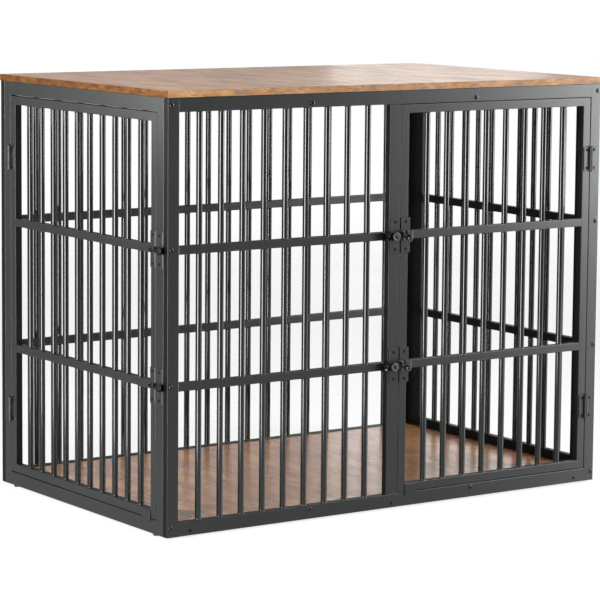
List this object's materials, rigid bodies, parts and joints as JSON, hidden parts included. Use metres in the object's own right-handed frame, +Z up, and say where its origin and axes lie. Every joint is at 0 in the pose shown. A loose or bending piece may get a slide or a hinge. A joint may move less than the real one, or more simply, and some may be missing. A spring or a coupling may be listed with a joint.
{
  "type": "dog crate",
  "caption": "Furniture-style dog crate with a wooden top, barred steel sides, a hinged front door and a hinged end door, each held by sliding bolts.",
  "frame": {"origin": "centre of the crate's bounding box, at the bottom of its feet", "axes": "+Z up; +X along the long side, to the right as seen from the front; +Y from the front to the back"},
  "size_m": [1.0624, 0.667, 0.8473],
  "materials": {
    "powder_coat": "satin charcoal powder coat",
    "hardware": "satin black hinges and latches",
    "rustic_wood": "rustic brown laminate on board, satin",
    "foot_plastic": "black moulded plastic"
  },
  "bodies": {
    "frame": {"back_bottom_rail": "powder_coat", "back_grille": "powder_coat", "back_left_post": "powder_coat", "back_right_post": "powder_coat", "back_top_rail": "powder_coat", "floor_board": "rustic_wood", "floor_crossbar_left": "powder_coat", "floor_crossbar_right": "powder_coat", "foot_front_left": "foot_plastic", "foot_front_right": "foot_plastic", "foot_rear_left": "foot_plastic", "foot_rear_right": "foot_plastic", "front_bottom_rail": "powder_coat", "front_fixed_grille": "powder_coat", "front_left_post": "powder_coat", "front_lower_hinge_pin": "hardware", "front_lower_hinge_post_leaf": "hardware", "front_lower_latch_barrel": "hardware", "front_middle_post": "powder_coat", "front_right_post": "powder_coat", "front_top_rail": "powder_coat", "front_upper_hinge_pin": "hardware", "front_upper_hinge_post_leaf": "hardware", "front_upper_latch_barrel": "hardware", "left_side_bottom_rail": "powder_coat", "left_side_front_post": "powder_coat", "left_side_rear_post": "powder_coat", "left_side_top_rail": "powder_coat", "right_side_bottom_rail": "powder_coat", "right_side_front_post": "powder_coat", "right_side_insert": "powder_coat", "right_side_rear_post": "powder_coat", "right_side_top_rail": "powder_coat", "side_lower_hinge_pin": "hardware", "side_lower_hinge_post_leaf": "hardware", "side_lower_latch_barrel": "hardware", "side_upper_hinge_pin": "hardware", "side_upper_hinge_post_leaf": "hardware", "side_upper_latch_barrel": "hardware", "top_board": "rustic_wood", "top_crossbar_left": "powder_coat", "top_crossbar_right": "powder_coat"},
    "front_door": {"front_door_leaf": "powder_coat", "front_door_stop_plate": "powder_coat", "front_lower_hinge_door_leaf": "hardware", "front_lower_latch_keeper": "hardware", "front_upper_hinge_door_leaf": "hardware", "front_upper_latch_keeper": "hardware"},
    "side_door": {"side_door_leaf": "powder_coat", "side_door_stop_plate": "powder_coat", "side_lower_hinge_door_leaf": "hardware", "side_lower_latch_keeper": "hardware", "side_upper_hinge_door_leaf": "hardware", "side_upper_latch_keeper": "hardware"},
    "front_lower_bolt": {"front_lower_latch_bolt": "hardware"},
    "front_upper_bolt": {"front_upper_latch_bolt": "hardware"},
    "side_lower_bolt": {"side_lower_latch_bolt": "hardware"},
    "side_upper_bolt": {"side_upper_latch_bolt": "hardware"}
  },
  "joints": [
    {"name": "front_door_hinge", "type": "hinge", "parent": "frame", "child": "front_door", "pos_m": [0.504, -0.3176, 0.419], "axis": [0, 0, 1], "range_deg": [0, 170]},
    {"name": "side_door_hinge", "type": "hinge", "parent": "frame", "child": "side_door", "pos_m": [-0.52485, 0.29095, 0.419], "axis": [0, 0, -1], "range_deg": [0, 170]},
    {"name": "front_lower_bolt_slide", "type": "slide", "parent": "frame", "child": "front_lower_bolt", "axis": [-1, 0, 0], "range_m": [0, 0.018]},
    {"name": "side_lower_bolt_slide", "type": "slide", "parent": "frame", "child": "side_lower_bolt", "axis": [0, -1, 0], "range_m": [0, 0.018]},
    {"name": "front_upper_bolt_slide", "type": "slide", "parent": "frame", "child": "front_upper_bolt", "axis": [-1, 0, 0], "range_m": [0, 0.018]},
    {"name": "side_upper_bolt_slide", "type": "slide", "parent": "frame", "child": "side_upper_bolt", "axis": [0, -1, 0], "range_m": [0, 0.018]}
  ]
}
